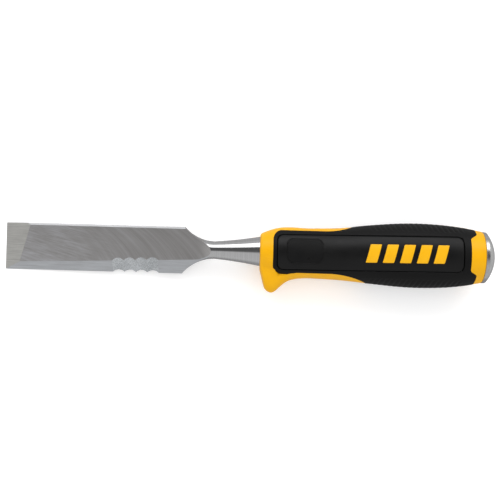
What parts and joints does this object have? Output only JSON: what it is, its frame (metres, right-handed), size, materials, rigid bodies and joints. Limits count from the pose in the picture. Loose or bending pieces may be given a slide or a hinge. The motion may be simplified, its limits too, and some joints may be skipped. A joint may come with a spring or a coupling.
{
  "type": "wood chisel",
  "caption": "Side-strike wood chisel with a bevelled end, a serrated side bevel, a finger guard, a soft-covered handle and a steel strike cap.",
  "frame": {"origin": "on the cutting edge at the blade's flat back, where the plane through the handle's axis crosses it", "axes": "+X along the tool from the cutting edge to the strike cap, +Y towards the spine, away from the finger guard, +Z normal to the flat back, out of the bevel side; the tool lies on its back"},
  "size_m": [0.2665, 0.0398, 0.0312],
  "materials": {
    "blade_steel": "ground",
    "core_plastic": "semi-gloss",
    "grip_rubber": "matte",
    "plate_plastic": "satin",
    "pad_rubber": "matte",
    "emblem_plastic": "satin",
    "cap_steel": "satin"
  },
  "bodies": {
    "root": {"blade": "blade_steel", "handle_core": "core_plastic", "grip_overmould": "grip_rubber", "strike_cap": "cap_steel", "side_plate_front": "plate_plastic", "side_plate_back": "plate_plastic", "thumb_pad_front": "pad_rubber", "thumb_pad_back": "pad_rubber", "emblem_bar_front_1": "emblem_plastic", "emblem_bar_front_2": "emblem_plastic", "emblem_bar_front_3": "emblem_plastic", "emblem_bar_front_4": "emblem_plastic", "emblem_bar_front_5": "emblem_plastic", "emblem_bar_back_1": "emblem_plastic", "emblem_bar_back_2": "emblem_plastic", "emblem_bar_back_3": "emblem_plastic", "emblem_bar_back_4": "emblem_plastic", "emblem_bar_back_5": "emblem_plastic"}
  },
  "joints": []
}
